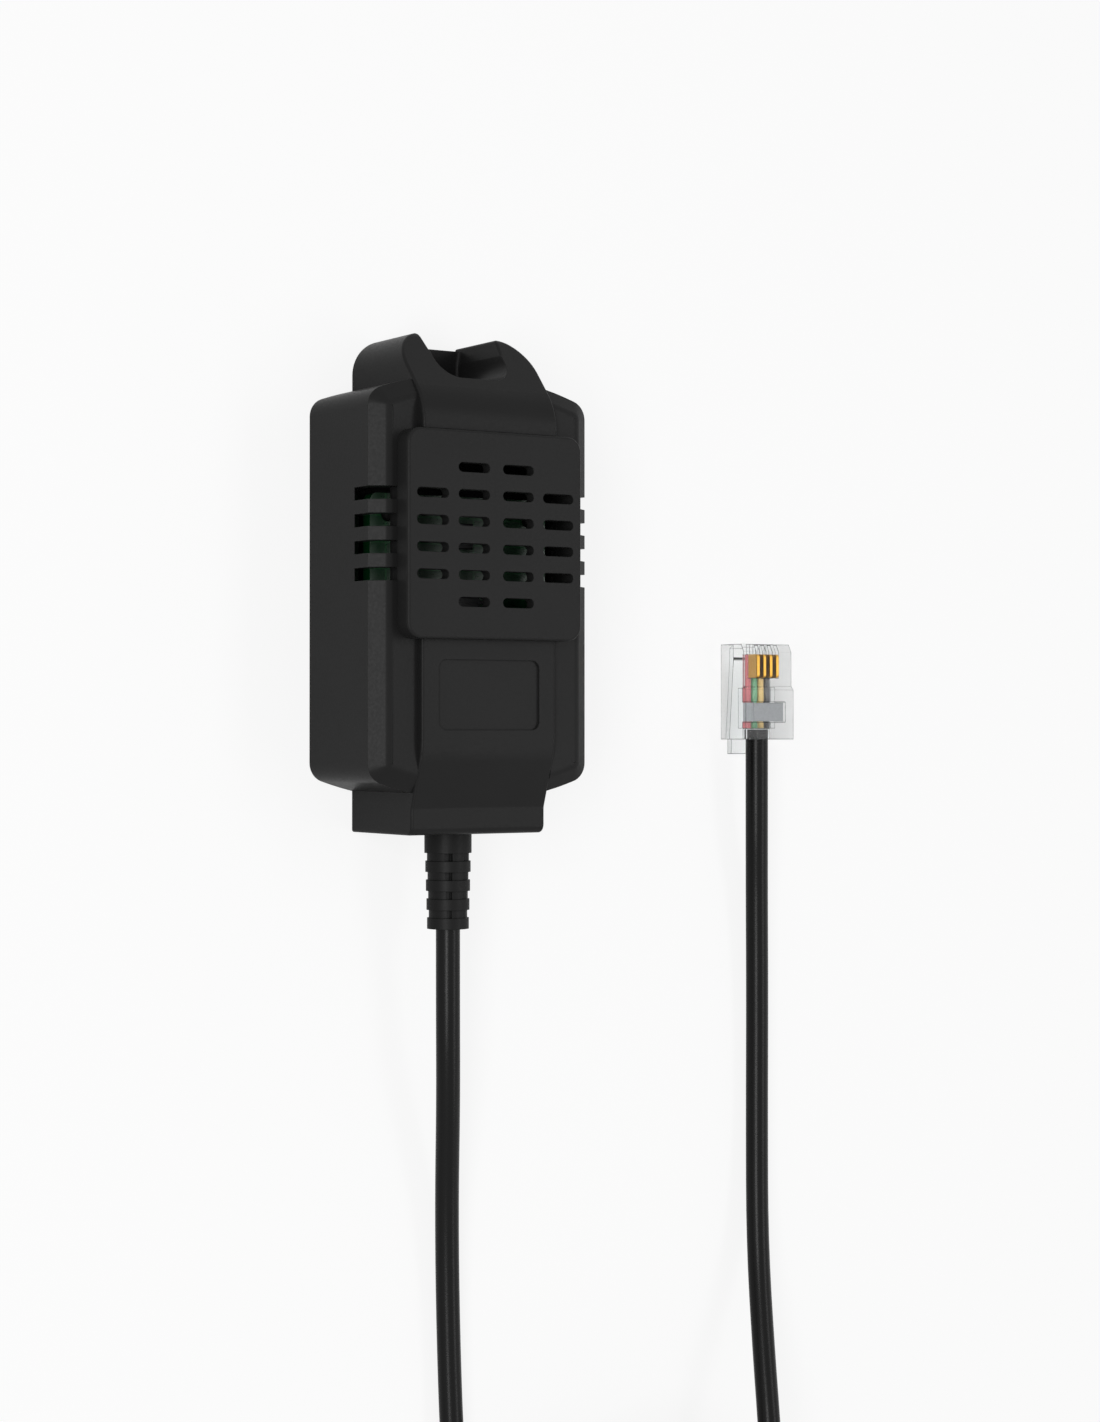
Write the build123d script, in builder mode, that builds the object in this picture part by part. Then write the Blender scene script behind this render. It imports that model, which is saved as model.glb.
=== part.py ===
from build123d import *
import math
import os

os.makedirs("parts", exist_ok=True)

# Driving sizes in millimetres. The origin is the centre of the flat back, +Y runs
# up the case towards its hanging loop, and +Z points out of the front.

# Overall case
case_length = 58.6
case_width = 29.5
case_depth = 18.0
wall = 1.6
fit_gap = 0.1

# Main box of the front housing: arched ends and a chamfer round its face
hanger_rise = 5.2
foot_drop = 3.84
arch_radius = 40.4
corner_radius = 2.3
chamfer_rise = 1.45
chamfer_inset = 1.95

# Raised spine that runs from the foot over the face into the hanging ears
spine_side_step = 5.7
spine_rise = 0.95
foot_step = 2.37
foot_length = 3.0
foot_slope_length = 6.9
foot_blend = 8.0
foot_corner = 1.0
spine_edge = 0.3
neck_rise = 0.4
neck_radius = 7.0
ear_slope_length = 8.9
ear_slope_drop = 7.76
ear_nose_radius = 1.9
ear_corner_radius = 4.35

# Notch between the ears, with a thin web behind it that has the screw hole
ear_width = 4.15
notch_mouth_step = 0.35
notch_flare = 2.2
notch_depth = 5.65
notch_corner = 2.6
ear_round = 0.4
web_thickness = 1.2
web_drop = 0.6
web_fillet = 0.45
hang_hole_radius = 1.5
hang_hole_gap = 0.4

# Grille cover and its slots
grille_side_gap = 3.01
grille_skirt = 2.45
grille_height = 23.94
grille_drop = 6.95
grille_corner = 1.8
grille_edge = 0.35
slot_pitch = 3.08
slot_rows = 6
slot_side_margin = 1.18
slot_gap = 1.28
slot_middle_gap = 1.76
slot_height = 1.12
window_ledge = 0.95

# Vents through the side walls
side_vent_rows = 4
side_vent_height = 1.5
side_vent_drop = 3.1
side_vent_face = 1.4
side_vent_slope = 50.0

# Bare recess on the lower spine
recess_side_margin = 2.25
recess_height = 8.1
recess_depth = 0.3
recess_corner = 1.0
recess_below_grille = 2.3

# Back cover with its posts
rim = 1.0
cover_thickness = 1.8
post_radius = 1.9
peg_radius = 0.8

# Circuit board
board_side_gap = 2.75
board_top_gap = 13.84
board_thickness = 1.6
board_below_face = 5.95
board_foot_gap = 6.26
board_corner = 1.0
post_inset_x = 2.4
post_inset_y = 2.4

# Parts soldered to the board
sensor_size = 3.0
sensor_height = 0.8
sensor_above_middle = 0.4
filter_radius = 0.9
filter_height = 0.3
processor_width = 4.4
processor_length = 5.0
processor_height = 1.2
processor_below_sensor = 9.2
processor_pins = 4
pin_pitch = 1.27
pin_width = 0.4
pin_thickness = 0.2
pin_foot = 0.8
chip_length = 1.6
chip_width = 0.8
chip_height = 0.6
chip_side = 4.6
resistor_height = 0.42
pad_step = 2.0
pad_inset = 2.4
solder_radius = 0.75
solder_tip_radius = 0.25
solder_height = 1.1

# Leads from the cable to the board
lead_radius = 0.5
lead_spread = 0.7

# Cable and its ribbed boot
cable_radius = 1.45
boot_flange_radius = 3.4
boot_flange_length = 1.2
boot_neck_radius = 2.45
boot_collar_radius = 2.8
boot_collar_length = 2.4
boot_rings = 4
boot_ring_length = 1.29
boot_groove_length = 0.95
boot_ring_radius = 2.69
boot_groove_drop = 0.2
boot_taper = 0.07
boot_web_width = 1.5
boot_skin = 0.45

# Stored coil of the cable and its ties
coil_x = 24.7
coil_y = -128.0
coil_mean_radius = 14.7
coil_columns = 5
coil_rows = 4
coil_stub_length = 13.0
tie_thickness = 0.5
tie_width = 4.0
tie_gap = 0.05

# Modular plug on the far end
plug_x = 48.0
plug_tip_y = -6.2
plug_length = 12.2
plug_width = 7.65
plug_height = 5.3
plug_lift = 1.6
plug_nose_length = 5.4
plug_nose_step = 0.45
plug_nose_chamfer = 1.0
plug_entry_radius = 1.6
plug_entry_depth = 1.4
plug_axis_height = 2.55
latch_width = 3.2
latch_thickness = 0.8
latch_root_length = 1.6
latch_reach = 1.9
contact_pitch = 1.02
contact_thickness = 0.4
contact_length = 3.0
contact_height = 2.0
contact_setback = 1.3
contact_proud = 0.1
wire_radius = 0.42
wire_room_length = 6.6
window_width = 5.0
window_length = 2.6
window_from_rear = 2.2
bar_drop = 0.15

# Depths worked out from the sizes above, from the grille back to the foot and ears
face_depth = case_depth - grille_skirt
side_depth = face_depth - chamfer_rise
spine_depth = face_depth + spine_rise
foot_depth = spine_depth - foot_step
boot_depth = foot_depth / 2
neck_depth = spine_depth + neck_rise
ear_tip_depth = neck_depth - ear_slope_drop
board_top = face_depth - board_below_face
board_under = board_top - board_thickness

# Widths worked out from the width of the case
spine_half = case_width / 2 - spine_side_step
notch_half = spine_half - ear_width
notch_mouth_half = notch_half + notch_mouth_step
grille_width = case_width - 2 * grille_side_gap
slot_length = (grille_width - 2 * slot_side_margin - 2 * slot_gap - slot_middle_gap) / 4
recess_width = 2 * (spine_half - recess_side_margin)
board_width = case_width - 2 * board_side_gap

# Heights worked out from the length of the case
foot_end = -case_length / 2
ear_tip = case_length / 2
case_top = ear_tip - hanger_rise
case_bottom = foot_end + foot_drop
chamfer_angle = math.degrees(math.atan2(chamfer_inset, face_depth - side_depth))
grille_top = case_top - grille_drop
grille_middle = grille_top - grille_height / 2
notch_floor = ear_tip - notch_depth
recess_middle = grille_top - grille_height - recess_below_grille - recess_height / 2
board_bottom_y = foot_end + wall + board_foot_gap + cover_thickness
board_length = case_top - board_top_gap - board_bottom_y
board_middle = board_bottom_y + board_length / 2


def save(piece, name):
    """Label a finished piece and write it under its own name."""
    piece.part.label = name
    export_step(piece.part, f"parts/{name}.step")


def case_outline(inset):
    """Arched outline of the main box, drawn in from its outer wall."""
    half = case_width / 2 - inset
    top = case_top - inset
    bottom = case_bottom + inset
    arch = arch_radius - inset
    sag = arch - math.sqrt(arch ** 2 - half ** 2)
    with BuildSketch() as outline:
        with BuildLine():
            Line((-half, bottom + sag), (-half, top - sag))
            ThreePointArc((-half, top - sag), (0, top), (half, top - sag))
            Line((half, top - sag), (half, bottom + sag))
            ThreePointArc((half, bottom + sag), (0, bottom), (-half, bottom + sag))
        make_face()
        fillet(outline.vertices(), corner_radius)
    return outline.sketch


def foot_tongue(inset, rear):
    """Rectangle over the foot, drawn in from the foot's walls and ending inside the box."""
    low = foot_end + inset
    with BuildSketch() as tongue:
        with Locations((0, (low + rear) / 2)):
            Rectangle(2 * (spine_half - inset), rear - low)
    return tongue.sketch


def slot_rows_at(count):
    """Heights of the middle slot rows, centred on the grille."""
    return [grille_middle + slot_pitch * (row - (count - 1) / 2) for row in range(count)]


# Strap of the front housing: foot, raised spine, neck and the two ears with their notch
notch_points = [
    (-notch_half, notch_floor),
    (-notch_half, ear_tip - notch_flare),
    (-notch_mouth_half, ear_tip),
    (notch_mouth_half, ear_tip),
    (notch_half, ear_tip - notch_flare),
    (notch_half, notch_floor),
]
neck_start = grille_top + fit_gap
neck_end = ear_tip - ear_slope_length
with BuildPart() as strap:
    # Side view, from the foot over the face to the ears
    with BuildSketch(Plane.YZ) as strap_view:
        with BuildLine():
            Polyline(
                (foot_end, 0),
                (foot_end, foot_depth),
                (foot_end + foot_length, foot_depth),
                (foot_end + foot_length + foot_slope_length, spine_depth),
                (neck_start, spine_depth),
                (neck_start, neck_depth),
                (neck_end, neck_depth),
                (ear_tip, ear_tip_depth),
                (ear_tip, 0),
                close=True,
            )
        make_face()
        blends = [
            (foot_end, foot_depth, foot_corner),
            (foot_end + foot_length, foot_depth, foot_corner),
            (foot_end + foot_length + foot_slope_length, spine_depth, foot_blend),
            (neck_end, neck_depth, neck_radius),
            (ear_tip, ear_tip_depth, ear_nose_radius),
        ]
        for along, height, radius in blends:
            corner = strap_view.vertices().sort_by_distance((along, height))[0]
            fillet(corner, radius)
    extrude(amount=spine_half, both=True)
    # Front view of the same strap, with rounded ears and the notch between them
    with BuildSketch() as strap_plan:
        Rectangle(2 * spine_half, case_length)
        fillet(strap_plan.vertices().group_by(Axis.Y)[-1], ear_corner_radius)
        fillet(strap_plan.vertices().group_by(Axis.Y)[0], foot_corner)
        with BuildLine():
            Polyline(*notch_points, close=True)
        make_face(mode=Mode.SUBTRACT)
        fillet(strap_plan.vertices().group_by(Axis.Y)[-1], ear_round)
        for side in (-1, 1):
            corner = strap_plan.vertices().sort_by_distance((side * notch_half, notch_floor))[0]
            fillet(corner, notch_corner)
    extrude(amount=case_depth, mode=Mode.INTERSECT)
    # Small radius along both front edges
    flanks = strap.faces().filter_by(Axis.X).sort_by(Axis.X)
    for flank in (flanks[0], flanks[-1]):
        rails = flank.edges().filter_by(Axis.Z, reverse=True)
        fillet(rails.filter_by(lambda rail: rail.center().Z > foot_depth / 2), spine_edge)
    # Thin web behind the notch
    with BuildSketch() as web:
        with Locations((0, (notch_floor + ear_tip - web_drop) / 2 - wall / 2)):
            Rectangle(2 * notch_mouth_half, ear_tip - web_drop - notch_floor + wall)
    extrude(amount=web_thickness)
    web_rim = strap.edges().filter_by_position(Axis.Z, web_thickness - 0.01, web_thickness + 0.01)
    fillet(web_rim.filter_by(lambda rim_edge: rim_edge.center().Y < ear_tip - web_drop - 0.01), web_fillet)

# Front housing: the main box and the strap in one moulding
cavity_side = side_depth - wall * math.tan(math.radians(chamfer_angle) / 2)
with BuildPart() as front_housing:
    # Main box with its chamfered face
    extrude(case_outline(0), amount=side_depth)
    with BuildSketch(Plane.XY.offset(side_depth)):
        add(case_outline(0))
    extrude(amount=face_depth - side_depth, taper=chamfer_angle)
    # The strap takes the box's place where its neck dips below the face
    with BuildSketch():
        with Locations((0, (neck_end + ear_tip) / 2)):
            Rectangle(2 * spine_half, ear_tip - neck_end)
    extrude(amount=case_depth, mode=Mode.SUBTRACT)
    add(strap.part)
    # Hollow behind the face, the spine and the foot
    extrude(case_outline(wall), amount=cavity_side, mode=Mode.SUBTRACT)
    with BuildSketch(Plane.XY.offset(cavity_side)):
        add(case_outline(wall))
    extrude(amount=face_depth - wall - cavity_side, taper=chamfer_angle, mode=Mode.SUBTRACT)
    spine_hollow_low = foot_end + foot_length + foot_slope_length
    spine_hollow_high = neck_end - wall
    with BuildSketch(Plane.XY.offset(cover_thickness)):
        with Locations((0, (spine_hollow_low + spine_hollow_high) / 2)):
            Rectangle(2 * (spine_half - wall), spine_hollow_high - spine_hollow_low)
    extrude(amount=spine_depth - wall - cover_thickness, mode=Mode.SUBTRACT)
    extrude(foot_tongue(wall, spine_hollow_low), amount=foot_depth - wall, mode=Mode.SUBTRACT)
    # Rebate that the back cover drops into
    extrude(case_outline(rim), amount=cover_thickness, mode=Mode.SUBTRACT)
    extrude(foot_tongue(rim, spine_hollow_low), amount=cover_thickness, mode=Mode.SUBTRACT)
    # Window under the grille cover
    with BuildSketch(Plane.XY.offset(cover_thickness)):
        with Locations((0, grille_middle)):
            Rectangle(grille_width - 2 * window_ledge, grille_height - 2 * window_ledge)
    extrude(amount=case_depth - cover_thickness, mode=Mode.SUBTRACT)
    # Four vents on each side, from the side wall round the chamfer into the face
    vent_inner = case_width / 2 - chamfer_inset - side_vent_face
    vent_base = side_depth - side_vent_drop
    vent_foot = vent_base - wall * math.tan(math.radians(side_vent_slope))
    for row in slot_rows_at(side_vent_rows):
        with BuildSketch(Plane.XZ.offset(-row)):
            with BuildLine():
                Polyline(
                    (case_width / 2, vent_base),
                    (case_width / 2 - wall, vent_foot),
                    (vent_inner, vent_foot),
                    (vent_inner, case_depth),
                    (case_width / 2, case_depth),
                    close=True,
                )
            make_face()
            mirror(about=Plane.YZ)
        extrude(amount=side_vent_height / 2, both=True, mode=Mode.SUBTRACT)
    # Shallow recess on the lower spine, left bare
    with BuildSketch(Plane.XY.offset(spine_depth)):
        with Locations((0, recess_middle)):
            RectangleRounded(recess_width, recess_height, recess_corner)
    extrude(amount=-recess_depth, mode=Mode.SUBTRACT)
    # Screw hole in the web and the hole that the boot's neck passes through
    with Locations((0, case_top + hang_hole_gap + hang_hole_radius, web_thickness)):
        Hole(hang_hole_radius, depth=web_thickness)
    with Locations(Plane.XZ.offset(-foot_end)):
        with Locations((0, boot_depth)):
            Hole(boot_neck_radius + fit_gap, depth=wall)
save(front_housing, "front_housing")

# Grille cover: a plate that bridges the spine, with skirts down to the face
inner_column = (slot_middle_gap + slot_length) / 2
outer_column = inner_column + slot_length + slot_gap
with BuildPart() as grille_cover:
    with BuildSketch(Plane.XY.offset(face_depth)):
        with Locations((0, grille_middle)):
            RectangleRounded(grille_width, grille_height, grille_corner)
    extrude(amount=case_depth - face_depth)
    fillet(grille_cover.faces().sort_by(Axis.Z)[-1].edges(), grille_edge)
    # Channel that the spine passes through
    with BuildSketch(Plane.XY.offset(face_depth)):
        with Locations((0, grille_middle)):
            Rectangle(2 * (spine_half + fit_gap), grille_height)
    extrude(amount=spine_depth - face_depth, mode=Mode.SUBTRACT)
    # Rows of slots with round ends, the outer columns on the inner rows only
    rows = slot_rows_at(slot_rows)
    slots = [(column, row) for row in rows for column in (-inner_column, inner_column)]
    slots += [(column, row) for row in rows[1:-1] for column in (-outer_column, outer_column)]
    with BuildSketch(Plane.XY.offset(face_depth)):
        with Locations(*slots):
            SlotOverall(slot_length, slot_height)
    extrude(amount=case_depth - face_depth, mode=Mode.SUBTRACT)
save(grille_cover, "grille_cover")

# Back cover: flush plate in the rebate, with four pegged posts for the board
post_x = board_width / 2 - post_inset_x
post_reach = board_length / 2 - post_inset_y
post_spots = [(side * post_x, board_middle + end * post_reach) for side in (-1, 1) for end in (-1, 1)]
with BuildPart() as back_cover:
    extrude(case_outline(rim + fit_gap), amount=cover_thickness)
    extrude(foot_tongue(rim + fit_gap, spine_hollow_low), amount=cover_thickness)
    with BuildSketch(Plane.XY.offset(cover_thickness)):
        with Locations(*post_spots):
            Circle(post_radius)
    extrude(amount=board_under - cover_thickness)
    with BuildSketch(Plane.XY.offset(board_under)):
        with Locations(*post_spots):
            Circle(peg_radius)
    extrude(amount=board_thickness + peg_radius)
    chamfer(back_cover.faces().group_by(Axis.Z)[-1].edges(), peg_radius / 3)
save(back_cover, "back_cover")

# Circuit board on the posts
with BuildPart() as circuit_board:
    with BuildSketch(Plane.XY.offset(board_under)):
        with Locations((0, board_middle)):
            RectangleRounded(board_width, board_length, board_corner)
        with Locations(*post_spots):
            Circle(peg_radius + fit_gap, mode=Mode.SUBTRACT)
    extrude(amount=board_thickness)
save(circuit_board, "circuit_board")

# Sensing chip behind a bar of the grille, with its filter cap on top
sensor_middle = grille_middle + sensor_above_middle
with BuildPart() as sensing_chip:
    with BuildSketch(Plane.XY.offset(board_top)):
        with Locations((0, sensor_middle)):
            Rectangle(sensor_size, sensor_size)
    extrude(amount=sensor_height)
    chamfer(sensing_chip.faces().sort_by(Axis.Z)[-1].edges(), sensor_height / 8)
save(sensing_chip, "sensing_chip")

with BuildPart() as filter_cap:
    with BuildSketch(Plane.XY.offset(board_top + sensor_height)):
        with Locations((0, sensor_middle)):
            Circle(filter_radius)
    extrude(amount=filter_height)
    chamfer(filter_cap.faces().sort_by(Axis.Z)[-1].edges(), filter_height / 3)
save(filter_cap, "filter_cap")

# Processor in its moulded package, with a row of bent pins on each side
processor_y = grille_middle - processor_below_sensor
pin_rise = board_top + processor_height / 2
pin_knee = processor_width / 2 + pin_thickness * 2
pin_toe = pin_knee + pin_foot
pin_outline = [
    (processor_width / 2 - pin_thickness, pin_rise),
    (pin_knee - pin_thickness, pin_rise),
    (pin_knee - pin_thickness, board_top),
    (pin_toe, board_top),
    (pin_toe, board_top + pin_thickness),
    (pin_knee, board_top + pin_thickness),
    (pin_knee, pin_rise + pin_thickness),
    (processor_width / 2 - pin_thickness, pin_rise + pin_thickness),
]
with BuildPart() as processor:
    with BuildSketch(Plane.XY.offset(board_top + pin_thickness)):
        with Locations((0, processor_y)):
            Rectangle(processor_width, processor_length)
    extrude(amount=processor_height - pin_thickness)
    chamfer(processor.faces().sort_by(Axis.Z)[-1].edges(), pin_thickness)
    for pin in range(processor_pins):
        pin_y = processor_y + pin_pitch * (pin - (processor_pins - 1) / 2)
        with BuildSketch(Plane.XZ.offset(-pin_y)) as pin_view:
            with BuildLine():
                Polyline(*pin_outline, close=True)
            make_face()
            mirror(about=Plane.YZ)
        extrude(amount=pin_width / 2, both=True)
save(processor, "processor")

# Two capacitors and four resistors, soldered flat beside the sensing chip
with BuildPart() as capacitors:
    with BuildSketch(Plane.XY.offset(board_top)):
        for side in (-1, 1):
            with Locations((side * chip_side, grille_middle)):
                Rectangle(chip_length, chip_width)
    extrude(amount=chip_height)
save(capacitors, "capacitors")

with BuildPart() as resistors:
    with BuildSketch(Plane.XY.offset(board_top)):
        for side in (-1, 1):
            for row in (1, 2):
                with Locations((side * chip_side, grille_middle - row * slot_pitch)):
                    Rectangle(chip_length, chip_width)
    extrude(amount=resistor_height)
save(resistors, "resistors")

# Four solder joints along the lower edge of the board
pad_y = board_bottom_y + pad_inset
lead_height = board_top + lead_radius
lead_columns = [pad_step * (lead - 1.5) for lead in range(4)]
with BuildPart() as solder_joints:
    with Locations(*[(column, pad_y, board_top + solder_height / 2) for column in lead_columns]):
        Cone(solder_radius, solder_tip_radius, solder_height)
save(solder_joints, "solder_joints")

# Four insulated leads from the end of the cable, up over the board's edge to the joints
foot_wall_inside = foot_end + wall
lead_start = foot_wall_inside + boot_flange_length
lead_stop = pad_y - solder_radius
lead_rise = board_bottom_y - lead_radius * 3
lead_bend = lead_radius * 3
lead_routes = [
    ("lead_black", -1.5 * pad_step, (-lead_spread, -lead_spread)),
    ("lead_yellow", -0.5 * pad_step, (-lead_spread, lead_spread)),
    ("lead_green", 0.5 * pad_step, (lead_spread, lead_spread)),
    ("lead_red", 1.5 * pad_step, (lead_spread, -lead_spread)),
]
for name, column, (across, up) in lead_routes:
    with BuildPart() as lead:
        with BuildLine():
            FilletPolyline(
                (across, lead_start, boot_depth + up),
                (across, lead_start + lead_bend, boot_depth + up),
                (column, lead_rise, lead_height),
                (column, lead_stop, lead_height),
                radius=lead_radius * 2,
            )
        with BuildSketch(Plane((across, lead_start, boot_depth + up), x_dir=(1, 0, 0), z_dir=(0, 1, 0))):
            Circle(lead_radius)
        sweep()
    save(lead, name)

# Ribbed boot: flange inside the foot, neck through its wall, tapering rings outside
with BuildPart() as cable_boot:
    boot_outline = [(0, foot_wall_inside + boot_flange_length)]
    boot_outline += [(boot_flange_radius, foot_wall_inside + boot_flange_length)]
    boot_outline += [(boot_flange_radius, foot_wall_inside), (boot_neck_radius, foot_wall_inside)]
    boot_outline += [(boot_neck_radius, foot_end), (boot_collar_radius, foot_end)]
    reach = foot_end - boot_collar_length
    boot_outline += [(boot_collar_radius, reach)]
    for ring in range(boot_rings):
        ring_radius = boot_ring_radius - ring * boot_taper
        groove_radius = ring_radius - boot_groove_drop
        boot_outline += [(groove_radius, reach), (groove_radius, reach - boot_groove_length)]
        boot_outline += [(ring_radius, reach - boot_groove_length)]
        reach -= boot_groove_length + boot_ring_length
        boot_outline += [(ring_radius, reach)]
    boot_outline += [(0, reach)]
    with BuildSketch(Plane.XY.offset(boot_depth)):
        with BuildLine():
            Polyline(*boot_outline, close=True)
        make_face()
    revolve(axis=Axis((0, 0, boot_depth), (0, 1, 0)))
    # Slits in the grooves, parted by a web at the front and back, so that it bends
    groove_start = foot_end - boot_collar_length
    for ring in range(boot_rings):
        groove_middle = groove_start - boot_groove_length / 2
        groove_start -= boot_groove_length + boot_ring_length
        slit_bottom = cable_radius + boot_skin
        slit_width = boot_ring_radius - boot_web_width / 2
        for side in (-1, 1):
            for face in (-1, 1):
                slit_x = side * (boot_web_width + slit_width) / 2
                slit_z = boot_depth + face * (slit_bottom + boot_ring_radius) / 2
                with Locations((slit_x, groove_middle, slit_z)):
                    Box(slit_width, boot_groove_length, boot_ring_radius - slit_bottom, mode=Mode.SUBTRACT)
boot_end = reach
save(cable_boot, "cable_boot")


def cable_tube(points, radii, name):
    """Straight runs and tangent arcs through the points, as a round cable."""
    first = Vector(*points[0])
    with BuildPart() as tube:
        with BuildLine() as route:
            FilletPolyline(*points, radius=radii)
        with BuildSketch(Plane(first, z_dir=Vector(*points[1]) - first)):
            Circle(cable_radius)
        sweep()
    save(tube, name)
    length = route.wires()[0].length
    section = math.pi * cable_radius ** 2
    print(name, "length", round(length, 2), "volume", round(tube.part.volume / (section * length), 4))
    return length


def route_radii(points):
    """Radius of each arc: 0.45 of the shorter run over the tangent of half the turn."""
    radii = []
    for before, here, after in zip(points, points[1:], points[2:]):
        run_in = Vector(*here) - Vector(*before)
        run_out = Vector(*after) - Vector(*here)
        half_turn = math.radians(run_in.get_angle(run_out)) / 2
        radii.append(0.45 * min(run_in.length, run_out.length) / math.tan(half_turn))
    print("radii", [round(radius, 1) for radius in radii])
    return radii


# Cable from the boot down to the table and along it to the coil
floor_height = cable_radius + fit_gap / 2
coil_low = tie_thickness + tie_gap + cable_radius
coil_outer_turn = coil_mean_radius + (coil_columns - 1) * cable_radius
coil_left = coil_x - coil_outer_turn
coil_right = coil_x + coil_outer_turn
stub_end = coil_y + coil_stub_length
coil_high = coil_low + (coil_rows - 1) * 2 * cable_radius
sensor_route = [
    (0, boot_end, boot_depth),
    (0, -50.5, boot_depth),
    (1.1, -61.5, 5.3),
    (2.6, -74.0, 2.4),
    (3.3, -88.0, floor_height),
    (3.8, -103.0, floor_height + 0.1),
    (coil_left, -109.0, coil_low),
    (coil_left, stub_end, coil_low),
]
sensor_length = cable_tube(sensor_route, route_radii(sensor_route), "sensor_cable")

# Cable from the top of the coil down to the table and up to the plug
plug_rear = plug_tip_y - plug_length
plug_axis = plug_lift + plug_axis_height
plug_route = [
    (coil_right, stub_end, coil_high),
    (coil_right, -107.5, coil_high),
    (46.9, -96.5, 7.0),
    (49.3, -83.5, 2.5),
    (50.0, -68.0, floor_height),
    (50.0, -52.0, floor_height + 0.1),
    (49.4, -38.0, 2.3),
    (plug_x, -28.0, plug_axis),
    (plug_x, plug_rear + plug_entry_depth, plug_axis),
]
plug_side_length = cable_tube(plug_route, route_radii(plug_route), "plug_cable")

# Stored coil: the outer shape of its tied turns, with a stub where each end leaves
coil_width = coil_columns * 2 * cable_radius
coil_height = coil_rows * 2 * cable_radius
coil_middle = tie_thickness + tie_gap + coil_height / 2
coil_axis = Axis((coil_x, coil_y, 0), (0, 0, 1))


def bundle_outline(grow):
    """Section of the bundled turns, grown all round, with its corners cut at 45 degrees."""
    with BuildSketch() as bundle:
        with Locations((coil_mean_radius, coil_middle)):
            Rectangle(coil_width + 2 * grow, coil_height + 2 * grow)
        chamfer(bundle.vertices(), (cable_radius + grow) * (2 - math.sqrt(2)))
    return bundle.sketch


with BuildPart() as cable_coil:
    with BuildSketch(Plane((coil_x, coil_y, 0), x_dir=(1, 0, 0), z_dir=(0, -1, 0))):
        add(bundle_outline(tie_gap / 2))
    revolve(axis=coil_axis)
    for end_x, end_z in ((coil_left, coil_low), (coil_right, coil_high)):
        with BuildSketch(Plane.XZ.offset(-coil_y)):
            with Locations((end_x, end_z)):
                Circle(cable_radius)
        extrude(amount=-coil_stub_length)
save(cable_coil, "cable_coil")

# Two ties round the bundle of turns, at the near and the far side of the coil
tie_angle = math.degrees(tie_width / coil_mean_radius)
with BuildPart() as coil_ties:
    for bearing in (90, 270):
        start = math.radians(bearing - tie_angle / 2)
        across = Vector(math.cos(start), math.sin(start), 0)
        with BuildSketch(Plane((coil_x, coil_y, 0), x_dir=across, z_dir=across.cross(Vector(0, 0, 1)))):
            add(bundle_outline(tie_gap + tie_thickness))
            add(bundle_outline(tie_gap), mode=Mode.SUBTRACT)
        revolve(axis=coil_axis, revolution_arc=tie_angle)
save(coil_ties, "coil_ties")

coil_turns = coil_columns * coil_rows - 0.5
coil_length = coil_turns * 2 * math.pi * coil_mean_radius
stub_length = 2 * coil_stub_length
print("whole cable", round(sensor_length + plug_side_length + coil_length + stub_length, 1))

# Clear plug body: stepped nose, contact slots, wire cavity, cable entry and latch
plug_top = plug_lift + plug_height
plug_shoulder = plug_tip_y - plug_nose_length
plug_side = [
    (plug_rear, plug_lift),
    (plug_tip_y, plug_lift),
    (plug_tip_y, plug_top - plug_nose_chamfer),
    (plug_tip_y - plug_nose_chamfer, plug_top - plug_nose_step),
    (plug_shoulder, plug_top - plug_nose_step),
    (plug_shoulder - plug_nose_step, plug_top),
    (plug_rear, plug_top),
]
latch_side = [
    (plug_tip_y, plug_lift),
    (plug_tip_y - latch_root_length, plug_lift),
    (plug_rear + latch_thickness, latch_thickness),
    (plug_rear - latch_reach, latch_thickness),
    (plug_rear - latch_reach, 0),
    (plug_rear, 0),
    (plug_tip_y - latch_root_length, plug_lift - latch_thickness),
    (plug_tip_y - latch_thickness / 2, plug_lift - latch_thickness),
]
contact_columns = [plug_x + contact_pitch * (contact - 1.5) for contact in range(4)]
contact_front = plug_tip_y - contact_setback
contact_rear = contact_front - contact_length
contact_top = plug_top - plug_nose_step + contact_proud
wire_height = contact_top - contact_height - wire_radius
entry_inside = plug_rear + plug_entry_depth
wire_room_front = plug_rear + wire_room_length
bar_foot = wire_height + wire_radius + fit_gap / 2
window_middle = plug_rear + window_from_rear + window_length / 2
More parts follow.
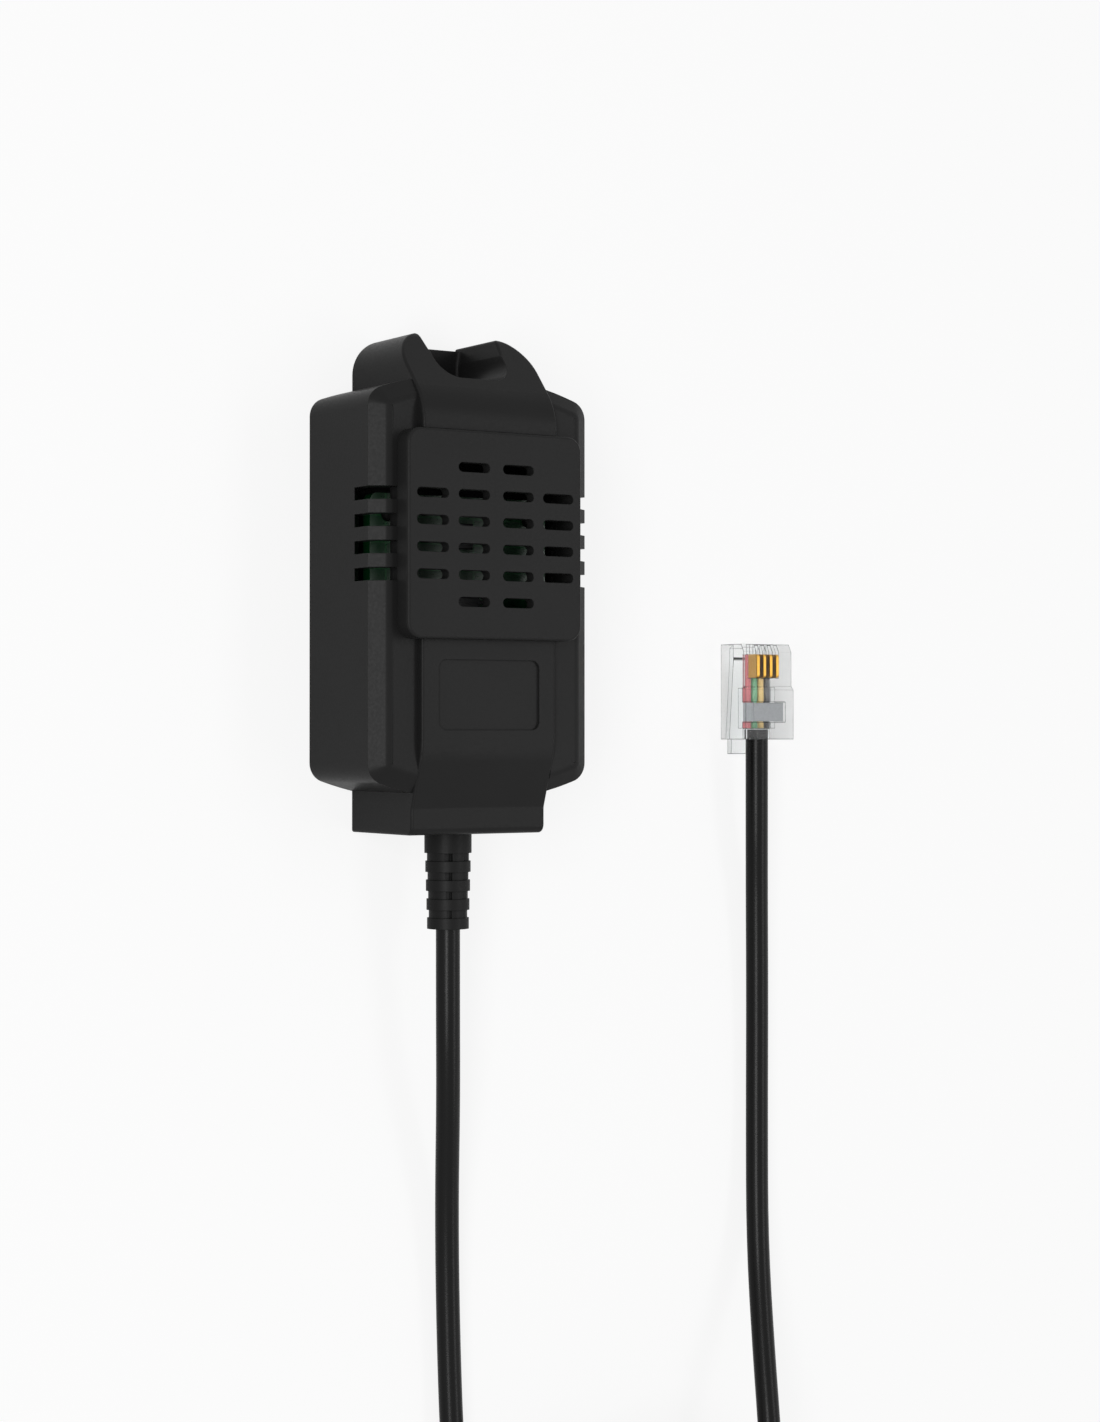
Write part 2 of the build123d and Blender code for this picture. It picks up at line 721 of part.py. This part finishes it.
with BuildPart() as plug_body:
    with BuildSketch(Plane.YZ.offset(plug_x)):
        with BuildLine():
            Polyline(*plug_side, close=True)
        make_face()
    extrude(amount=plug_width / 2, both=True)
    with BuildSketch(Plane.YZ.offset(plug_x)):
        with BuildLine():
            Polyline(*latch_side, close=True)
        make_face()
    extrude(amount=latch_width / 2, both=True)
    # Round entry for the cable
    with BuildSketch(Plane.XZ.offset(-plug_rear)):
        with Locations((plug_x, plug_axis)):
            Circle(plug_entry_radius)
    extrude(amount=-plug_entry_depth, mode=Mode.SUBTRACT)
    # Flat room for the four conductors, their bores and the contact slots above them
    with BuildSketch(Plane.XZ.offset(-entry_inside)):
        with Locations((plug_x, wire_height)):
            Rectangle(window_width, 2 * wire_radius + fit_gap)
    extrude(amount=-(wire_room_front - entry_inside), mode=Mode.SUBTRACT)
    with BuildSketch(Plane.XZ.offset(-wire_room_front)):
        with Locations(*[(column, wire_height) for column in contact_columns]):
            Circle(wire_radius + fit_gap / 2)
    extrude(amount=-(contact_front - wire_room_front), mode=Mode.SUBTRACT)
    with BuildSketch(Plane.XY.offset(wire_height)):
        with Locations(*[(column, (plug_tip_y + contact_rear) / 2) for column in contact_columns]):
            Rectangle(contact_thickness + fit_gap, plug_tip_y - contact_rear + fit_gap)
    extrude(amount=plug_height, mode=Mode.SUBTRACT)
    # Window that the strain bar is pressed through
    with BuildSketch(Plane.XY.offset(plug_top)):
        with Locations((plug_x, window_middle)):
            Rectangle(window_width, window_length)
    extrude(amount=wire_height - plug_top, mode=Mode.SUBTRACT)
save(plug_body, "plug_body")

# Frosted strain bar, pressed down on the conductors through the window
with BuildPart() as strain_bar:
    with BuildSketch(Plane.XY.offset(bar_foot)):
        with Locations((plug_x, window_middle)):
            Rectangle(window_width - 2 * fit_gap, window_length - 2 * fit_gap)
    extrude(amount=plug_top - bar_drop - bar_foot)
    chamfer(strain_bar.faces().sort_by(Axis.Z)[-1].edges(), bar_drop)
save(strain_bar, "strain_bar")

# Four gold contact blades standing in their slots
with BuildPart() as plug_contacts:
    for column in contact_columns:
        with BuildSketch(Plane.YZ.offset(column)):
            with Locations(((contact_front + contact_rear) / 2, contact_top - contact_height / 2)):
                Rectangle(contact_length, contact_height)
        extrude(amount=contact_thickness / 2, both=True)
    fillet(plug_contacts.edges().filter_by(Axis.X).group_by(Axis.Z)[-1], contact_thickness)
save(plug_contacts, "plug_contacts")

# Four conductors from the end of the cable to the contacts
for name, column in zip(("wire_red", "wire_green", "wire_yellow", "wire_black"), contact_columns):
    with BuildPart() as wire:
        with BuildSketch(Plane.XZ.offset(-entry_inside)):
            with Locations((column, wire_height)):
                Circle(wire_radius)
        extrude(amount=-(contact_front - entry_inside))
    save(wire, name)
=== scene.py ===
# The looks of a plug-in temperature and humidity sensor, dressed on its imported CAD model.
import math

import bmesh
import bpy
from mathutils import Matrix, Vector


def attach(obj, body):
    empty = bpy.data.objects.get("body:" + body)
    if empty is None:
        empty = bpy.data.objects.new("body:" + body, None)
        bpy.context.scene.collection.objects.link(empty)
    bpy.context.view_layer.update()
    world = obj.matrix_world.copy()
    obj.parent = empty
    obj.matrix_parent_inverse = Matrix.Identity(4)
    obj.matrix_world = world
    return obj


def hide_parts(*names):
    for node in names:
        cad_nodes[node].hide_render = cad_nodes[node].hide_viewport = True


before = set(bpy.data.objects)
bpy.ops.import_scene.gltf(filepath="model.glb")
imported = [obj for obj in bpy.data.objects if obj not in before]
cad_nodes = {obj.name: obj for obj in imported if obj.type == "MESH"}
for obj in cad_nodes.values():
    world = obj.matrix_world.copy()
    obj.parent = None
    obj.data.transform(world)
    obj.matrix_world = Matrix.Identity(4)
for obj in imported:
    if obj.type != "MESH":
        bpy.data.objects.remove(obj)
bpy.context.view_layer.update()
scene = bpy.context.scene

# Camera: the photograph was taken from the left of the case and looks down on its face.
# A long lens on a small object keeps the sides of the case nearly parallel.
camera_turn = math.radians(-32.87)
camera_tilt = math.radians(0.36)
camera_place = (-0.16424, -0.01695, 0.28349)
lens_length = 68.68
film_width = 36
nearest_seen, farthest_seen = 0.01, 20
lens_data = bpy.data.cameras.new("product_lens")
lens_data.lens = lens_length
lens_data.sensor_width = film_width
lens_data.clip_start = nearest_seen
lens_data.clip_end = farthest_seen
camera = bpy.data.objects.new("product_camera", lens_data)
camera.matrix_world = (
    Matrix.Translation(camera_place)
    @ Matrix.Rotation(camera_turn, 4, "Y")
    @ Matrix.Rotation(camera_tilt, 4, "X")
)
scene.collection.objects.link(camera)
scene.camera = camera

# Front housing: one black ABS moulding with the box, the raised spine, the foot and the
# two hanging ears. The tool was spark eroded, so its faces are matt with a fine grain. The
# real grain is well under 0.1 mm, and is drawn at 0.3 mm so that it shows.
mm = 0.001
case_black = "#202020"
case_grain = 0.3
case_roughness = 0.34
case_ior = 1.17
grain_height = 0.03
flow_size = 9
tone_spread = 0.1


def linear(hex_colour):
    """An sRGB hex colour as the linear colour that a shader takes."""
    levels = [int(hex_colour[place:place + 2], 16) / 255 for place in (1, 3, 5)]
    return [v / 12.92 if v <= 0.04045 else ((v + 0.055) / 1.055) ** 2.4 for v in levels] + [1.0]


def add_node(tree, kind, inputs=None, **settings):
    """A new shader node with its settings, each input set to a value or linked to a socket."""
    made = tree.nodes.new(kind)
    for name, value in settings.items():
        setattr(made, name, value)
    for name, value in (inputs or {}).items():
        if isinstance(value, bpy.types.NodeSocket):
            tree.links.new(value, made.inputs[name])
        else:
            made.inputs[name].default_value = value
    return made


def new_material(name):
    """An empty material and its node tree."""
    material = bpy.data.materials.new(name)
    material.use_nodes = True
    material.node_tree.nodes.clear()
    return material, material.node_tree


def moulded_black(name, colour, grain, roughness, ior, rounding=0.12):
    """Black moulded plastic: eroded grain in the surface, and edges rounded by the tool."""
    material, tree = new_material(name)
    place = add_node(tree, "ShaderNodeTexCoord").outputs["Object"]
    grains = add_node(tree, "ShaderNodeTexNoise", {
        "Vector": place, "Scale": 1 / (grain * mm), "Detail": 3, "Roughness": 0.6})
    flow = add_node(tree, "ShaderNodeTexNoise", {
        "Vector": place, "Scale": 1 / (flow_size * mm), "Detail": 2})
    darker = [level * (1 - tone_spread) for level in colour]
    lighter = [level * (1 + tone_spread) for level in colour]
    tone = add_node(tree, "ShaderNodeMix", {
        "Factor": flow.outputs["Fac"], "A": darker, "B": lighter}, data_type="RGBA")
    shine = add_node(tree, "ShaderNodeMapRange", {
        "Value": grains.outputs["Fac"], "From Min": 0.3, "From Max": 0.7,
        "To Min": roughness - 0.05, "To Max": roughness + 0.07})
    edge = add_node(tree, "ShaderNodeBevel", {"Radius": rounding * mm}, samples=4)
    relief = add_node(tree, "ShaderNodeBump", {
        "Strength": 0.25, "Distance": grain_height * mm, "Height": grains.outputs["Fac"],
        "Normal": edge.outputs["Normal"]})
    shader = add_node(tree, "ShaderNodeBsdfPrincipled", {
        "Base Color": tone.outputs["Result"], "Roughness": shine.outputs["Result"],
        "IOR": ior, "Normal": relief.outputs["Normal"]})
    add_node(tree, "ShaderNodeOutputMaterial", {"Surface": shader.outputs["BSDF"]})
    return material


def keep_flat(piece):
    """Shade broad faces flat, and let only the narrow ones beside them turn the light."""
    flat = piece.modifiers.new("flat_faces", "WEIGHTED_NORMAL")
    flat.mode = "FACE_AREA"
    flat.weight = 100
    flat.keep_sharp = True


def dress(name, material):
    """Give a CAD node its material."""
    node = cad_nodes[name]
    keep_flat(node)
    node.data.materials.clear()
    node.data.materials.append(material)
    for face in node.data.polygons:
        face.material_index = 0


case_plastic = moulded_black(
    "spark_eroded_black_abs", linear(case_black), case_grain, case_roughness, case_ior)
dress("front_housing", case_plastic)

# Raised face of the front housing: the same black ABS moulding, where it stands up from the
# side walls by a chamfer. It stops at the spine, the grille's window and the side vents.
# A hair is the small allowance for picking points and edges by their place.
case_half = 14.75
case_top, case_bottom = 24.1, -25.46
arch_radius = 40.4
arch_segments = 16
corner_cut = 1.57
side_depth = 14.1
chamfer_inset = 1.95
chamfer_rise = 1.45
brow_round = 0.5
spine_half = 9.0
window_half = 10.79
window_low, window_high = -5.84, 16.2
vent_inner = 11.4
vent_half_height = 0.75
vent_middle = 5.18
vent_pitch = 3.08
vent_rows = [vent_middle + (row - 1.5) * vent_pitch for row in range(4)]
hair = 0.01
face_shape = bmesh.new()
bmesh.ops.create_grid(face_shape, x_segments=arch_segments, y_segments=1, size=1)
for point in face_shape.verts:
    across = point.co.x * case_half
    sag = arch_radius - math.sqrt(arch_radius ** 2 - across ** 2)
    along = case_top - sag if point.co.y > 0 else case_bottom + sag
    point.co = (across * mm, along * mm, side_depth * mm)
bmesh.ops.bevel(
    face_shape, geom=[v for v in face_shape.verts if abs(v.co.x) > (case_half - hair) * mm],
    offset=corner_cut * mm, offset_type="OFFSET", affect="VERTICES", segments=8, profile=0.5,
    material=-1)
bmesh.ops.inset_region(
    face_shape, faces=face_shape.faces[:], thickness=chamfer_inset * mm, depth=chamfer_rise * mm,
    use_even_offset=True, use_boundary=True)
face_height = side_depth + chamfer_rise
brow = [
    e for e in face_shape.edges
    if min(v.co.z for v in e.verts) > (face_height - hair) * mm
    and any(f.normal.z < 0.9 for f in e.link_faces)
]
bmesh.ops.bevel(
    face_shape, geom=brow, offset=brow_round * mm, offset_type="OFFSET", affect="EDGES",
    segments=6, profile=0.5, material=-1)
cuts_across = [x * side for x in (spine_half, window_half, vent_inner) for side in (-1, 1)]
cuts_along = [window_low, window_high]
cuts_along += [row + half for row in vent_rows for half in (-vent_half_height, vent_half_height)]
cut_planes = [((x * mm, 0, 0), (1, 0, 0)) for x in cuts_across]
cut_planes += [((0, y * mm, 0), (0, 1, 0)) for y in cuts_along]
for plane_place, plane_way in cut_planes:
    bmesh.ops.bisect_plane(
        face_shape, geom=face_shape.verts[:] + face_shape.edges[:] + face_shape.faces[:],
        plane_co=plane_place, plane_no=plane_way)


def is_cut_away(face):
    """True where the spine, the window or a vent takes the place of the face."""
    middle = face.calc_center_median() / mm
    in_window = abs(middle.x) < window_half and window_low < middle.y < window_high
    beside_vent = any(abs(middle.y - row) < vent_half_height for row in vent_rows)
    in_vent = abs(middle.x) > vent_inner and beside_vent
    return abs(middle.x) < spine_half or in_window or in_vent


bmesh.ops.delete(
    face_shape, geom=[f for f in face_shape.faces if is_cut_away(f)], context="FACES")
rims = [
    e for e in face_shape.edges
    if e.is_boundary and max(v.co.z for v in e.verts) > (side_depth + hair) * mm
]
walls = bmesh.ops.extrude_edge_only(face_shape, edges=rims)
for part in walls["geom"]:
    if isinstance(part, bmesh.types.BMVert):
        part.co.z = side_depth * mm
bmesh.ops.remove_doubles(face_shape, verts=face_shape.verts, dist=0.001 * mm)
bmesh.ops.recalc_face_normals(face_shape, faces=face_shape.faces)
for facet in face_shape.faces:
    facet.smooth = True
face_mesh = bpy.data.meshes.new("housing_face")
face_shape.to_mesh(face_mesh)
face_shape.free()
face_mesh.set_sharp_from_angle(angle=math.radians(35))
face_mesh.materials.append(case_plastic)
housing_face = bpy.data.objects.new("housing_face", face_mesh)
scene.collection.objects.link(housing_face)
keep_flat(housing_face)
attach(housing_face, "root")

# Grille cover: a second ABS moulding, snapped over the spine on its skirts. It has the
# same matt grain as the housing and twenty slots with round ends.
grille_plastic = moulded_black(
    "spark_eroded_grille_abs", linear("#212121"), case_grain, 0.36, case_ior)
dress("grille_cover", grille_plastic)

# Back cover: the flat ABS plate that drops into the housing's rebate from behind. It is
# the same plastic, a little duller, with four posts that the board is pegged to.
back_plastic = moulded_black(
    "spark_eroded_back_abs", linear("#1F1F1F"), case_grain, 0.48, case_ior)
dress("back_cover", back_plastic)

# Circuit board: glass fibre laminate under a green solder mask. Copper tracks lie under
# the mask and show as lighter lines, with the woven glass faintly behind them.
mask_green = linear("#06371A")
track_green = linear("#0E4C25")
board_mask, tree = new_material("green_solder_mask")
place = add_node(tree, "ShaderNodeTexCoord").outputs["Object"]
track_pitch = 1.1
track_height = 0.03
weave_size = 0.4
tracks = add_node(tree, "ShaderNodeTexBrick", {
    "Vector": place, "Scale": 1 / (track_pitch * mm) / 4, "Mortar Size": 0.03, "Bias": 0.0,
    "Brick Width": 0.9, "Row Height": 0.35, "Color1": mask_green, "Color2": mask_green,
    "Mortar": track_green})
weave = add_node(tree, "ShaderNodeTexNoise", {
    "Vector": place, "Scale": 1 / (weave_size * mm), "Detail": 2})
board_relief = add_node(tree, "ShaderNodeBump", {
    "Strength": 0.3, "Distance": track_height * mm, "Height": tracks.outputs["Fac"]})
board_shine = add_node(tree, "ShaderNodeMapRange", {
    "Value": weave.outputs["Fac"], "To Min": 0.22, "To Max": 0.38})
board_shader = add_node(tree, "ShaderNodeBsdfPrincipled", {
    "Base Color": tracks.outputs["Color"], "Roughness": board_shine.outputs["Result"],
    "IOR": 1.5, "Normal": board_relief.outputs["Normal"]})
add_node(tree, "ShaderNodeOutputMaterial", {"Surface": board_shader.outputs["BSDF"]})
dress("circuit_board", board_mask)


def fine_surface(name, low, high, speck, roughness, metallic=0.0, ior=1.5, bump=0.01):
    """A small part's surface: two near tones and a slight unevenness at the size given."""
    material, tree = new_material(name)
    place = add_node(tree, "ShaderNodeTexCoord").outputs["Object"]
    specks = add_node(tree, "ShaderNodeTexNoise", {
        "Vector": place, "Scale": 1 / (speck * mm), "Detail": 3})
    tone = add_node(tree, "ShaderNodeMix", {
        "Factor": specks.outputs["Fac"], "A": linear(low), "B": linear(high)}, data_type="RGBA")
    relief = add_node(tree, "ShaderNodeBump", {
        "Strength": 0.4, "Distance": bump * mm, "Height": specks.outputs["Fac"]})
    shader = add_node(tree, "ShaderNodeBsdfPrincipled", {
        "Base Color": tone.outputs["Result"], "Roughness": roughness, "Metallic": metallic,
        "IOR": ior, "Normal": relief.outputs["Normal"]})
    add_node(tree, "ShaderNodeOutputMaterial", {"Surface": shader.outputs["BSDF"]})
    return material


# Chips: the sensing chip with its filter cap and the processor, in transfer moulded
# epoxy. The cap is expanded PTFE film, white and dull, so that only air gets through.
dress("sensing_chip", fine_surface("moulded_epoxy_sensor", "#17181A", "#222326", 0.2, 0.55))
dress("filter_cap", fine_surface("expanded_ptfe_film", "#D9DAD6", "#EFEFEC", 0.15, 0.8, bump=0.02))
dress("processor", fine_surface("moulded_epoxy_processor", "#1B1C1E", "#28292B", 0.2, 0.5))

# Small parts and joints: ceramic capacitors, thick film resistors and tin solder, placed
# and melted on the board by machine. Leads are stripped wires in thin PVC sleeves.
dress("capacitors", fine_surface("fired_ceramic", "#9C7C56", "#B8986E", 0.25, 0.5))
dress("resistors", fine_surface("glazed_resistor_film", "#131416", "#1D1E21", 0.25, 0.3))
dress("solder_joints", fine_surface(
    "melted_tin_solder", "#B4B6B8", "#D4D6D8", 0.3, 0.25, metallic=1.0))
sleeve_colours = {
    "black": ("#131314", "#1D1D1F"),
    "red": ("#8E1B1E", "#B0292B"),
    "green": ("#1F6B33", "#2E8A45"),
    "yellow": ("#B98A1C", "#D6A92C"),
}
for colour, (low, high) in sleeve_colours.items():
    dress(f"lead_{colour}", fine_surface(f"extruded_pvc_sleeve_{colour}", low, high, 0.5, 0.4))

# Cable boot: soft black PVC moulded straight on the cable, with a flange that the foot
# holds. Its slit rings let it bend. Its skin is a little duller than the case.
boot_rubber = moulded_black("moulded_black_pvc_boot", linear("#161616"), 0.25, 0.45, 1.22)
dress("cable_boot", boot_rubber)

# Cable: four conductors in a round black PVC jacket, extruded smooth, so that a lamp draws
# one line along it. It runs from the boot into a tied coil of nineteen and a half turns
# and on to the plug.
cable_diameter = 2.9
boot_end = (0, -40.66, 7.065)
sensor_run = [
    boot_end,
    (0, -50.5, 7.065),
    (1.1, -61.5, 5.3),
    (2.6, -74.0, 2.4),
    (3.3, -88.0, 1.5),
    (3.8, -103.0, 1.6),
    (4.2, -109.0, 2.0),
    (4.2, -115.0, 2.0),
]
plug_run = [
    (45.2, -115.0, 10.7),
    (45.2, -107.5, 10.7),
    (46.9, -96.5, 7.0),
    (49.3, -83.5, 2.5),
    (50.0, -68.0, 1.5),
    (50.0, -52.0, 1.6),
    (49.4, -38.0, 2.3),
    (48.0, -28.0, 4.15),
    (48.0, -17.0, 4.15),
]
coil_centre = (24.7, -128.0, 2.0)
coil_inner_turn = 8.9
coil_columns = 5
coil_rows = 4
points_per_turn = 24
step = 2 * math.pi / points_per_turn
crossing_arc = math.radians(50)


def coil_cell(turn):
    """Column and row of a turn: rows are wound inwards and outwards by turns."""
    row, across = divmod(turn, coil_columns)
    return (across if row % 2 else coil_columns - 1 - across), row


coil_points = []
for index in range(int((coil_columns * coil_rows - 0.5) * points_per_turn)):
    bearing = math.pi + (index + 0.5) * step
    turn = int((bearing - math.pi) / (2 * math.pi))
    column, row = coil_cell(turn)
    past = (bearing - math.pi) % (2 * math.pi) - math.pi
    if past > 0:
        # On the far side each turn changes place in its own stretch, top rows first.
        stretch = 2 * (coil_rows - 1 - row) - (turn % coil_columns == coil_columns - 1)
        middle = (stretch + 0.5) / (2 * coil_rows - 1) * math.pi
        share = min(1, max(0, (past - middle) / crossing_arc + 0.5))
        share = share * share * (3 - 2 * share)
        next_column, next_row = coil_cell(turn + 1)
        column += (next_column - column) * share
        row += (next_row - row) * share
    radius = (coil_inner_turn + column * cable_diameter) / math.cos(step / 2)
    coil_points.append((
        coil_centre[0] + radius * math.cos(bearing),
        coil_centre[1] + radius * math.sin(bearing),
        coil_centre[2] + row * cable_diameter,
    ))

cable_route = sensor_run + coil_points + plug_run
cable_line = bpy.data.curves.new("cable", "CURVE")
cable_line.dimensions = "3D"
spline = cable_line.splines.new("NURBS")
spline.points.add(len(cable_route) - 1)
for control, spot in zip(spline.points, cable_route):
    control.co = (*(v * mm for v in spot), 1)
spline.order_u = 3
spline.use_endpoint_u = True
spline.resolution_u = 4
cable_line.bevel_depth = cable_diameter / 2 * mm
cable_line.bevel_resolution = 6
cable_line.use_fill_caps = True
cable = bpy.data.objects.new("cable", cable_line)
scene.collection.objects.link(cable)
cable_jacket = moulded_black("extruded_black_pvc_jacket", linear("#0C0C0C"), 0.15, 0.26, 1.25)
cable_line.materials.append(cable_jacket)
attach(cable, "root")
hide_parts("sensor_cable", "cable_coil", "plug_cable")

# Coil ties: two nylon bands closed round the bundle of turns, one at the near and one at
# the far side. They look lighter than the jacket that they hold.
tie_nylon = moulded_black("moulded_black_nylon", linear("#202022"), 0.4, 0.35, 1.4)
dress("coil_ties", tie_nylon)

# Plug: a clear polycarbonate moulding with four gold plated blades pressed down through
# the conductors, and a frosted bar that holds the jacket. The plastic is polished. Its
# dark edges are painted shade, a dark grey shader mixed in along them. The wires behind
# it look paler than they are, and that is painted light: they have paler colours than the
# leads on the board.
sink_size = 2.5
sink_depth = 0.05
edge_width = 0.16
clear_body, tree = new_material("clear_polycarbonate_painted_edge_shade")
place = add_node(tree, "ShaderNodeTexCoord").outputs["Object"]
ripple = add_node(tree, "ShaderNodeTexNoise", {
    "Vector": place, "Scale": 1 / (sink_size * mm), "Detail": 1})
haze = add_node(tree, "ShaderNodeMapRange", {
    "Value": ripple.outputs["Fac"], "To Min": 0.02, "To Max": 0.08})
sink = add_node(tree, "ShaderNodeBump", {
    "Strength": 0.2, "Distance": sink_depth * mm, "Height": ripple.outputs["Fac"]})
clear_shader = add_node(tree, "ShaderNodeBsdfPrincipled", {
    "Base Color": linear("#FEFFFF"), "Roughness": haze.outputs["Result"], "IOR": 1.04,
    "Transmission Weight": 0.97, "Normal": sink.outputs["Normal"]})
# Painted shade: this dark grey shader (#2C2F31) is mixed in along the plug's edges, where the
# rounded normal turns away from the flat one, so that the edges show dark.
painted_edge_shade_shader = add_node(tree, "ShaderNodeBsdfPrincipled", {
    "Base Color": linear("#2C2F31"), "Roughness": haze.outputs["Result"], "IOR": 1.3})
flat_way = add_node(tree, "ShaderNodeNewGeometry").outputs["Normal"]
round_way = add_node(
    tree, "ShaderNodeBevel", {"Radius": edge_width * mm}, samples=8).outputs["Normal"]
agree = add_node(
    tree, "ShaderNodeVectorMath", {0: flat_way, 1: round_way}, operation="DOT_PRODUCT")
painted_edge_shade_share = add_node(tree, "ShaderNodeMapRange", {
    "Value": agree.outputs["Value"], "From Min": 0.99, "From Max": 0.88,
    "To Min": 0.0, "To Max": 0.95})
plug_shader = add_node(tree, "ShaderNodeMixShader", {
    "Fac": painted_edge_shade_share.outputs["Result"], 1: clear_shader.outputs["BSDF"],
    2: painted_edge_shade_shader.outputs["BSDF"]})
add_node(tree, "ShaderNodeOutputMaterial", {"Surface": plug_shader.outputs["Shader"]})
dress("plug_body", clear_body)
dress("strain_bar", fine_surface("frosted_polycarbonate_bar", "#8C8F92", "#A6A9AC", 0.4, 0.45))
# Painted light: the wires in the plug have paler colours than the same leads on the board, for the
# light that comes through the clear plastic.
painted_pale_wire_colours = {
    "black": ("#3C3C3E", "#505052"),
    "red": ("#A4474C", "#BC686C"),
    "green": ("#4B8A5C", "#70A880"),
    "yellow": ("#C9A558", "#DEC284"),
}
for colour, (low, high) in painted_pale_wire_colours.items():
    dress(f"wire_{colour}", fine_surface(f"pvc_sleeve_painted_paler_{colour}", low, high, 0.5, 0.4))
dress("plug_contacts", fine_surface(
    "gold_plated_bronze", "#B8862E", "#D8AC58", 0.3, 0.38, metallic=1.0))

# Floor and light: a white paper sheet under the object, a long strip lamp at the right for
# the faces and one at the left that draws the chamfer. The paper keeps a soft shadow.
floor_half = 3
floor_gap = 0.1
paper_share_seen = 0.16
paper_share_in_gloss = 0.8
room_level = 0.36
white_level = 1.0


def shows_white(tree):
    """1 for the rays that see the backdrop itself, and 0 for those that only light."""
    rays = add_node(tree, "ShaderNodeLightPath")
    seen = add_node(tree, "ShaderNodeMath", {
        0: rays.outputs["Is Camera Ray"], 1: rays.outputs["Is Glossy Ray"]}, operation="MAXIMUM")
    return add_node(tree, "ShaderNodeMath", {
        0: seen.outputs["Value"], 1: rays.outputs["Is Transmission Ray"]}, operation="MAXIMUM")


floor_mesh = bpy.data.meshes.new("floor")
shape = bmesh.new()
bmesh.ops.create_grid(shape, x_segments=1, y_segments=1, size=floor_half)
bmesh.ops.translate(shape, verts=shape.verts, vec=(0, 0, -floor_gap * mm))
shape.to_mesh(floor_mesh)
shape.free()
floor = bpy.data.objects.new("floor", floor_mesh)
scene.collection.objects.link(floor)
paper, tree = new_material("white_backdrop_paper")
lit = add_node(tree, "ShaderNodeBsdfDiffuse", {"Color": linear("#F2F2F2")})
dim = add_node(tree, "ShaderNodeBsdfDiffuse", {"Color": linear("#8C8C8C")})
glow = add_node(tree, "ShaderNodeEmission", {"Color": (1, 1, 1, 1), "Strength": white_level})
gloss = add_node(tree, "ShaderNodeLightPath").outputs["Is Glossy Ray"]
share = add_node(tree, "ShaderNodeMapRange", {
    "Value": gloss, "To Min": paper_share_seen, "To Max": paper_share_in_gloss})
shown = add_node(tree, "ShaderNodeMixShader", {
    "Fac": share.outputs["Result"], 1: glow.outputs["Emission"], 2: lit.outputs["BSDF"]})
sheet_shader = add_node(tree, "ShaderNodeMixShader", {
    "Fac": shows_white(tree).outputs["Value"], 1: dim.outputs["BSDF"],
    2: shown.outputs["Shader"]})
add_node(tree, "ShaderNodeOutputMaterial", {"Surface": sheet_shader.outputs["Shader"]})
floor_mesh.materials.append(paper)

world = bpy.data.worlds.new("studio")
scene.world = world
world.use_nodes = True
tree = world.node_tree
tree.nodes.clear()
room = add_node(tree, "ShaderNodeBackground", {"Color": (1, 1, 1, 1), "Strength": room_level})
white = add_node(tree, "ShaderNodeBackground", {"Color": (1, 1, 1, 1), "Strength": white_level})
either = add_node(tree, "ShaderNodeMixShader", {
    "Fac": shows_white(tree).outputs["Value"], 1: room.outputs["Background"],
    2: white.outputs["Background"]})
add_node(tree, "ShaderNodeOutputWorld", {"Surface": either.outputs["Shader"]})

# Each lamp: its place, its length along the case, its width and its power, in m and W.
lamps = {
    "key_softbox": ((0.38, -0.02, 0.58), 0.72, 0.16, 1.1),
    "rim_softbox": ((-0.49, -0.03, 0.51), 0.56, 0.20, 2.7),
}
lamp_target = Vector((0.01, -0.02, 0.01))
for name, (spot, length, width, power) in lamps.items():
    lamp_data = bpy.data.lights.new(name, "AREA")
    lamp_data.shape = "RECTANGLE"
    lamp_data.size = length
    lamp_data.size_y = width
    lamp_data.energy = power
    lamp = bpy.data.objects.new(name, lamp_data)
    lamp.location = spot
    lamp.rotation_euler = (lamp_target - Vector(spot)).to_track_quat("-Z", "Y").to_euler()
    scene.collection.objects.link(lamp)
scene.view_settings.view_transform = "Standard"
